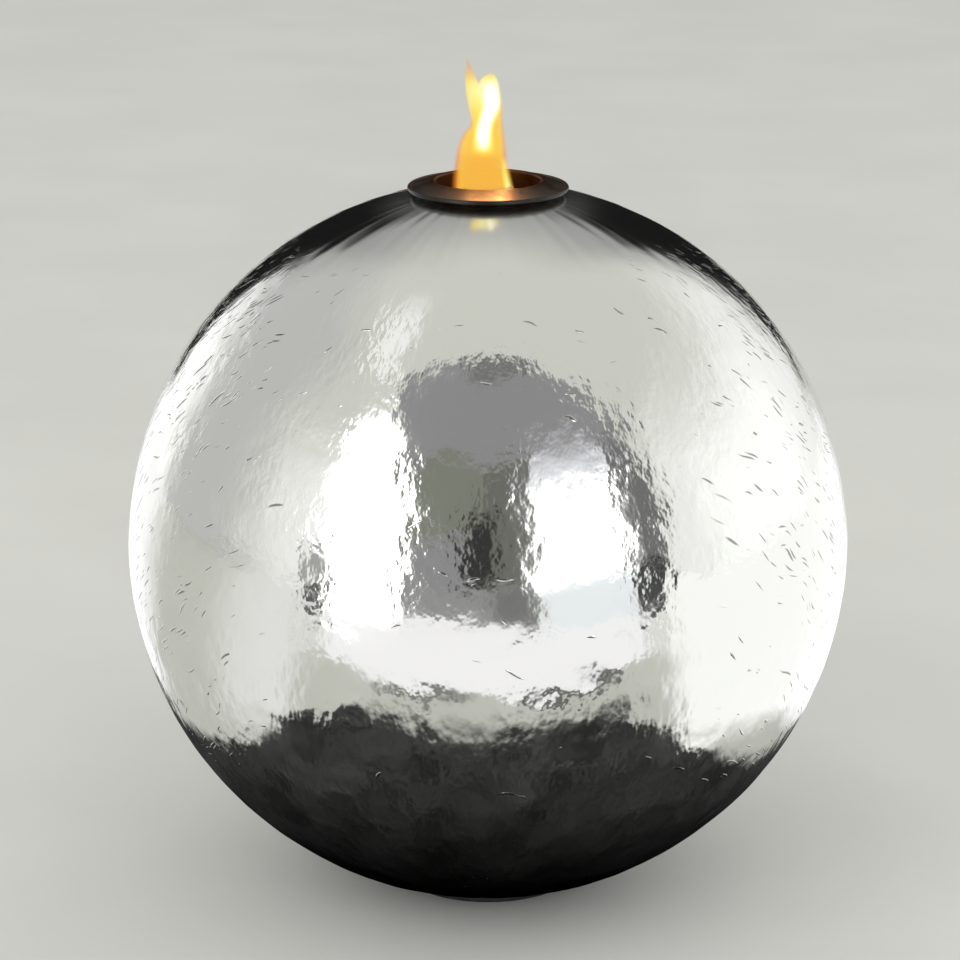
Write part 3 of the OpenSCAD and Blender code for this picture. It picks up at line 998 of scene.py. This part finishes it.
@dataclass
class Flame:
    """The burner's flame: stage, but it moves with the wick. Heights from the crown, in millimetres."""

    glows: tuple[tuple[FlameGlow, float], ...] = (
        (
            FlameGlow(
                "burning_oil_body",
                ((-6, -1.8, 11.9), (-1, -2.4, 11.2), (4, -2.7, 10.6), (9, -2.8, 10.0), (15, -2.5, 9.1),
                 (19.4, -1.5, 7.7), (21.6, -0.6, 6.6), (24, -0.4, 6.2), (28, -0.3, 6.0), (32, -0.4, 5.8),
                 (36, -0.4, 5.3), (39, 0.1, 4.4), (40.8, 0.3, 3.7), (42.2, 0.7, 2.6), (43.1, 0.9, 1.2),
                 (43.7, 0.9, 0.1)),
                ((-6, 9.2, 3.2, 13, 3.2), (-1, 8.3, 2.8, 11, 3.2), (3, 7.4, 2.5, 8, 3.2),
                 (7, 6.8, 2.2, 5, 3.2), (9.5, 6.6, 2.0, 0, 3.4), (11, -1.8, 6.0, 0, 4.4),
                 (13, -1.9, 6.0, 6, 5.0),
                 (16, -2.0, 5.4, 15, 5.0), (19, -2.0, 5.0, 18, 5.0), (22.5, -1.6, 4.8, 19, 5.0),
                 (26, -0.4, 5.0, 19, 5.5), (30, 1.4, 5.4, 18, 7.0), (33, 1.6, 6.0, 15, 9.0),
                 (37, 1.2, 6.5, 10, 9.5), (41, 0.6, 8.0, 3, 9.0), (43.7, 0.9, 8.0, 0, 6.0)),
            ),
            16.0,
        ),
        (
            FlameGlow(
                "burning_oil_tongue",
                ((21, -4.0, 2.4), (25, -4.3, 2.7), (29.5, -4.9, 3.3), (34, -5.6, 3.4), (37.5, -6.2, 3.2),
                 (40.6, -6.9, 2.7), (42.5, -7.3, 2.2), (45, -7.7, 1.5), (47, -8.1, 0.9), (49, -8.5, 0.4),
                 (50, -8.6, 0.1)),
                ((21, -1.6, 7.0, 5, 4.6), (29, -1.0, 9.0, 5, 7.5), (36, -3.5, 8.0, 5, 9.0),
                 (40, -5.6, 6.0, 4, 7.0), (44, -7.4, 4.0, 1, 2.6),
                 (47, -8.2, 4.0, 0, 0.4), (50, -8.6, 4.0, 0, 0.0)),
            ),
            11.5,
        ),
    )
    lamp_heights: tuple[float, ...] = (6.0, 19.0, 32.0)
    lamp_watts: float = 0.13
    lamp_colour: str = "#FFA862"
    lamp_mm: float = 11.0  # radius of each lamp, which softens what it lights

    def build(self) -> None:
        """Builds the flame's body and its left tongue, and the lamps that give its light."""
        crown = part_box("cover_ring")[1].z / MM
        # The wet skin is left to mirror the flame itself, as a mirror shows a lamp as a hard white spot.
        spared = bpy.data.collections.new("spared_by_flame_light")
        spared.objects.link(bpy.data.objects["ball_skin"])
        spared.collection_objects[0].light_linking.link_state = "EXCLUDE"
        for glow, half in self.glows:
            self.hull(glow, half, crown)
        for height in self.lamp_heights:
            data = bpy.data.lights.new("flame_light", "POINT")
            data.color, data.energy = linear(self.lamp_colour)[:3], self.lamp_watts
            data.shadow_soft_size = self.lamp_mm * MM
            lamp = bpy.data.objects.new("flame_light", data)
            lamp.location.z = (crown + height) * MM
            lamp.visible_camera = False
            lamp.light_linking.receiver_collection = spared
            bpy.context.scene.collection.objects.link(lamp)
            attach(lamp, "wick")

    def hull(self, glow: FlameGlow, half: float, crown: float) -> None:
        """Spins a smooth drum that holds a part of the flame.

        Args:
            glow: what burns in the drum.
            half: the drum's radius.
            crown: the height from which the flame's tables count.
        """
        low, high = (crown + glow.outline[end][0] for end in (0, -1))
        bm = spun([(0, low), (half, low), (half, high), (0, high)], 32, closed=False)
        drum = model(glow.name, bm)
        drum.data.materials.append(glow.material(crown))
        drum.visible_shadow = drum.visible_diffuse = False
        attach(drum, "wick")
        log.info("%s: stage, moves with the wick", glow.name)


# ---------------------------------------------------------------- studio


class Role(Enum):
    """What a panel in the studio does."""

    LAMP = "lights the object and shows in polished metal"
    REFLECTED = "only shows in polished metal, as a flag or a dark wall beyond the view does"


@dataclass(frozen=True)
class Panel:
    """A glowing face of the studio that the camera doesn't see. Its edges fade into what is behind it."""

    name: str
    across: Point
    along: Point
    level: float  # its strength, where 1 is white
    soft: tuple[float, float, float, float] = (0.0, 0.0, 0.0, 0.0)  # widths of the fades at both ends of each
    away: float = 0.0
    role: Role = Role.REFLECTED
    tint: str = "#FFFFFF"
    faces: int = 80  # the number of its faces each way, which carry its fades

    def at(self, across: float, along: float) -> Vector:
        """Gives the point at a place of the panel, from the middle of the ball or from the floor under it."""
        raise NotImplementedError

    def end(self, across: float) -> float:
        """Gives how far along the panel reaches at a place across it."""
        return self.along[1]

    def share(self, across: float, along: float) -> float:
        """Gives how much of the panel's light is left at a place.

        Args:
            across: where across the panel.
            along: where along it.

        Returns:
            The share, from 0 to 1.
        """
        from_ends = (across - self.across[0], self.across[1] - across)
        from_ends += (along - self.along[0], self.end(across) - along)
        left = 1.0
        for gap, fade in zip(from_ends, self.soft):
            left *= ease(0, fade, gap) if fade else 1.0
        return left

    def put(self, origin: Vector) -> None:
        """Makes the panel and hides it from the camera.

        Args:
            origin: the point that the panel's places count from.
        """
        bm = bmesh.new()
        bmesh.ops.create_grid(bm, x_segments=self.faces, y_segments=self.faces, size=0.5)
        shares = []
        for vert in bm.verts:
            across, along = (
                ends[0] + (ends[1] - ends[0]) * (part + 0.5)
                for ends, part in ((self.across, vert.co.x), (self.along, vert.co.y))
            )
            vert.co = origin + self.at(across, along)
            shares.append(self.share(across, along))
        panel = model(self.name, bm)
        glow = panel.data.attributes.new("glow", "FLOAT", "POINT")
        glow.data.foreach_set("value", shares)
        panel.data.materials.append(self.face())
        panel.visible_camera = panel.visible_shadow = False
        panel.visible_diffuse = self.role is Role.LAMP

    def face(self) -> bpy.types.Material:
        """Makes the glowing face, which is clear where the panel has faded.

        Returns:
            The material.
        """
        made = bpy.data.materials.new(self.name)
        made.use_nodes = True
        if self.role is Role.REFLECTED:
            made.cycles.emission_sampling = "NONE"
        made.node_tree.nodes.clear()
        node = partial(add, made.node_tree)
        shines = node("Emission", {"Color": linear(self.tint), "Strength": self.strength(node)})
        glow = node("Attribute", attribute_name="glow").outputs["Fac"]
        mixed = node("MixShader", {0: glow, 1: node("BsdfTransparent"), 2: shines})
        node("OutputMaterial", {"Surface": mixed})
        return made

    def strength(self, node: Adder) -> Any:
        """Gives the strength of the face: a number, or one of its nodes."""
        return self.level


@dataclass(frozen=True)
class Card(Panel):
    """A curved card round the ball, by the directions that it fills: azimuth 0 is the front, 90 the right."""

    skyline: tuple[Point, ...] = ()  # its top edge by azimuth, where it isn't level

    def end(self, across: float) -> float:
        """Gives the elevation of the top edge.

        Args:
            across: an azimuth in degrees.

        Returns:
            The elevation there, in degrees.
        """
        for (left, low), (right, high) in zip(self.skyline, self.skyline[1:]):
            if left <= across <= right:
                return low + (high - low) * (across - left) / (right - left)
        return self.along[1]

    def at(self, across: float, along: float) -> Vector:
        """Gives a point of the card.

        Args:
            across: its azimuth in degrees.
            along: its elevation in degrees.

        Returns:
            The point, from the middle of the ball.
        """
        azimuth, elevation = math.radians(across), math.radians(along)
        level = Vector((math.sin(azimuth), -math.cos(azimuth), 0)) * math.cos(elevation)
        return (level + Vector((0, 0, math.sin(elevation)))) * self.away


@dataclass(frozen=True)
class Batten(Panel):
    """A level strip of light overhead, in metres across it and in shares of its length."""

    front: Point = (0.0, 0.0)
    back: Point = (0.0, 0.0)

    def at(self, across: float, along: float) -> Vector:
        """Gives a point of the strip.

        Args:
            across: metres beside its middle line.
            along: the share of its length.

        Returns:
            The point, from the middle of the ball.
        """
        run = Vector((self.back[0] - self.front[0], self.back[1] - self.front[1], 0))
        beside = Vector((run.y, -run.x, 0)).normalized()
        return Vector((*self.front, self.away)) + run * along + beside * across


@dataclass(frozen=True)
class FloorFan(Panel):
    """A fan on the floor round the ball, by azimuth in degrees and distance in metres."""

    def at(self, across: float, along: float) -> Vector:
        """Gives the point at an azimuth and a distance."""
        azimuth = math.radians(across)
        return Vector((math.sin(azimuth) * along, -math.cos(azimuth) * along, self.away))


@dataclass(frozen=True)
class FloorWedge(Panel):
    """A wedge on the floor before the ball, by azimuth in degrees and metres to the back."""

    def at(self, across: float, along: float) -> Vector:
        """Gives the point at an azimuth and a depth."""
        return Vector((-along * math.tan(math.radians(across)), along, self.away))


@dataclass(frozen=True)
class FloorStrip(Panel):
    """A strip on the floor, in metres to the right and to the back."""

    def at(self, across: float, along: float) -> Vector:
        """Gives the point at a place of the strip."""
        return Vector((across, along, self.away))


@dataclass(frozen=True)
class WetMat(FloorStrip):
    """A wet dark mat: nearly black under the ball, where the ball's shadow is painted in, and mottled by
    painted light further out.
    """

    black: float = 0.05  # distance in metres from the ball's foot within which the painted shadow is black
    lit: float = 0.24  # distance past which the painted shadow has faded and the mat has its full level

    def strength(self, node: Adder) -> bpy.types.Node:
        """Gives the mat's strength: a painted shadow by the distance from the ball's foot, broken by painted
        light from noise.

        Args:
            node: adds a node to the material.

        Returns:
            The node that holds the strength.
        """
        place = node("TexCoord").outputs["Object"]
        away = node("VectorMath", {0: place}, operation="LENGTH").outputs["Value"]
        # Painted shadow of the ball: the glow fades to black towards its foot.
        depth = node("MapRange", {0: away, 1: self.black, 2: self.lit, 4: self.level}, **SMOOTH)
        # Painted light: noise mottles the glow.
        mottle = node("TexNoise", {"Vector": place, "Scale": 22.0, "Detail": 4.0, "Roughness": 0.6})
        patchy = node("MapRange", {0: mottle, 1: 0.35, 2: 0.72, 3: 0.55, 4: 1.9})
        return node("Math", {0: depth, 1: patchy}, operation="MULTIPLY")


@dataclass(frozen=True)
class Studio:
    """The plain studio: pale floor, soft light from big cards, and the room that the ball mirrors."""

    distance: float = 1.5
    elevation: float = 16.1
    lens: float = 134.1
    raised_mm: float = 24.5  # how far the camera aims above the ball's middle, and to its left
    aside_mm: float = 3.3
    room: str = "#E4E5DF"
    ground_size: float = 60.0
    cards: tuple[Panel, ...] = (
        Card(
            "left_softbox", (-57, -24), (-2.6, 52), 3.0, (3, 2, 0, 4), 3.0, Role.LAMP,
            skyline=((-57, 42), (-53, 49), (-48, 52), (-43, 50), (-38, 47), (-33, 40), (-29, 34), (-26, 25),
                     (-24, 15)),
        ),
        Card("left_softbox_foot", (-54, -25), (-9.2, -2.4), 3.0, (6, 2, 0, 0), 1.0),
        Card("right_softbox", (14.4, 44.5), (-1.5, 33), 3.0, (2, 2, 2, 8), 3.0, Role.LAMP),
        Card("right_softbox_top", (14.4, 44.5), (18, 49), 1.15, (2, 2, 0, 20), 3.05, tint="#F6F6FF"),
        Card("right_softbox_foot", (14.8, 43.4), (-9.2, 4), 1.16, (1, 1.5, 1, 1), 0.985, tint="#F4F9FF"),
        Card("camera_and_stand", (-9, 3.5), (1.5, 26), 0.04, (3, 3, 3, 5), 2.7),
        Card("dark_recess", (-6, 14.4), (-2, 42), 0.19, (5, 1.5, 2, 5), 3.1, tint="#FBFDF2"),
        Card(
            "grey_wall", (-46, 57), (-2.6, 74), 0.35, (4, 2.5, 0, 3), 3.6,
            skyline=((-46, 58), (-42, 64), (-36, 68), (-28, 71), (-17, 73), (0, 74), (20, 73.5), (29, 73),
                     (33, 69), (40, 64.5), (51, 58.5), (57, 52)),
            tint="#FBF8FF",
        ),
        Card("vault_shadow", (-19, 27), (65, 72.5), 0.2, (9, 9, 3, 2.5), 3.3),
        Card("olive_recess", (-27, 14), (14, 43), 0.275, (2, 2, 6, 3), 3.3, tint="#F8FCEA"),
        Card("grey_wall_foot", (-27, 14.4), (-8.6, 3), 0.36, (2, 1.5, 0, 1.5), 0.98),
        Card("dark_recess_foot", (0, 14), (-8, 2), 0.22, (5, 1.5, 1.5, 1.5), 0.975),
        Card("right_flag", (43.2, 53.5), (-9.8, 9), 0.05, (1.5, 3, 2, 5), 0.97),
        Card("right_flag_top", (44.4, 53.5), (2, 48), 0.17, (2, 3, 6, 14), 0.98),
        Card("left_flag", (-55.5, -46.5), (-11, -1), 0.06, (2.5, 2.5, 2, 3), 0.96),
        Card("left_flag_top", (-56.5, -45), (-6, 10), 0.42, (3, 3, 2, 3), 0.97),
        Card("right_window", (54, 154), (-2.6, 52), 1.1, (8, 18, 0, 30), 3.3, Role.LAMP),
        Card("right_window_core", (64, 138), (-2.6, 36), 1.36, (20, 24, 0, 24), 3.1),
        Card("left_back_strip", (-154, -116), (-2.6, 28), 1.3, (5, 18, 0, 18), 3.2, Role.LAMP),
        Card("left_shade", (-154, -68), (-2.6, 66), 0.64, (12, 34, 0, 18), 3.5),
        Card("left_glow", (-92, -50), (-2.6, 46), 1.14, (36, 4, 0, 26), 3.15),
        Batten(
            "left_batten", (-0.27, 0.27), (0, 1), 1.16, (0.21, 0.21, 0.1, 0.4), 2.4,
            front=(-1.47, -0.97), back=(-0.62, 0.62),
        ),
        Card("dark_doorway", (150, 210), (-2.6, 40), 0.01, (5, 5, 0, 9), 3.2),
        Card("dim_lintel", (138, 222), (10, 72), 0.42, (16, 16, 0, 34), 3.4),
    )
    floor: tuple[Panel, ...] = (
        FloorFan("right_floor", (46, 156), (0.2, 3.3), 1.26, (10, 12, 0.03, 0.0), 0.2 * MM),
        FloorFan("left_floor", (-96, -46), (0.2, 3.2), 0.97, (34, 14, 0.06, 0.0), 0.1 * MM),
        FloorFan("left_back_floor", (-158, -110), (0.22, 3.2), 1.2, (6, 22, 0.08, 0.0), 0.2 * MM),
        FloorWedge(
            "front_floor", (-56, 52), (-1.25, -0.35), 1.22, (14, 10, 0.1, 0.012), 0.3 * MM, tint="#FCFAFF"
        ),
        WetMat("wet_mat", (-0.205, 0.185), (-0.295, 1.7), 0.045, (0.02, 0.02, 0.055, 0.3), 0.4 * MM),
        FloorStrip(
            "mat_edge_left", (-0.21, -0.01), (-0.356, -0.322), 0.14, (0.05, 0.05, 0.01, 0.01), 0.5 * MM
        ),
        FloorStrip(
            "mat_edge_right", (0.04, 0.25), (-0.354, -0.316), 0.07, (0.04, 0.03, 0.01, 0.01), 0.5 * MM
        ),
    )

    def build(self) -> None:
        """Sets the camera, the floor, the room's light, the cards and what lies on the floor."""
        centre = Vector((0, 0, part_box("upper_shell")[0].z))
        self.camera(centre)
        world = bpy.context.scene.world or bpy.data.worlds.new("room")
        bpy.context.scene.world = world
        world.use_nodes = True
        feed(world.node_tree.nodes["Background"], {"Color": linear(self.room), "Strength": 1.0})
        self.ground()
        for card in self.cards:
            card.put(centre)
        for strip in self.floor:
            strip.put(Vector())

    def camera(self, centre: Vector) -> None:
        """Aims the camera at a point a little above the ball's middle.

        Args:
            centre: the ball's middle.
        """
        tilt = math.radians(self.elevation)
        back = Vector((0, -math.cos(tilt), math.sin(tilt)))
        upright = Vector((0, math.sin(tilt), math.cos(tilt)))
        aim = centre + upright * self.raised_mm * MM - Vector((1, 0, 0)) * self.aside_mm * MM
        data = bpy.data.cameras.new("camera")
        data.lens, data.sensor_width, data.clip_end = self.lens, 36.0, 50.0
        camera = bpy.data.objects.new("camera", data)
        camera.location = aim + back * self.distance
        camera.rotation_euler = (-back).to_track_quat("-Z", "Y").to_euler()
        bpy.context.scene.collection.objects.link(camera)
        bpy.context.scene.camera = camera

    def ground(self) -> None:
        """Lays the pale floor, which runs up to the horizon."""
        bm = bmesh.new()
        bmesh.ops.create_grid(bm, x_segments=1, y_segments=1, size=0.5)
        bmesh.ops.scale(bm, verts=bm.verts, vec=(self.ground_size, self.ground_size, 1))
        ground = model("studio_floor", bm)
        ground.data.materials.append(PaleFloor().material())


def main() -> None:
    """Builds the studio, the object's sub-assemblies and the flame."""
    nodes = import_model()["nodes"]
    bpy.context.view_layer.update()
    bpy.context.scene.view_settings.view_transform = "Standard"
    Studio().build()
    for assembly in (Ball(nodes), Burner(nodes), WickHolder(nodes), Wick(nodes)):
        assembly.build()
    Flame().build()
    bpy.context.view_layer.update()


if __name__ == "__main__":
    logging.basicConfig(level=logging.INFO, format="%(message)s")
    main()
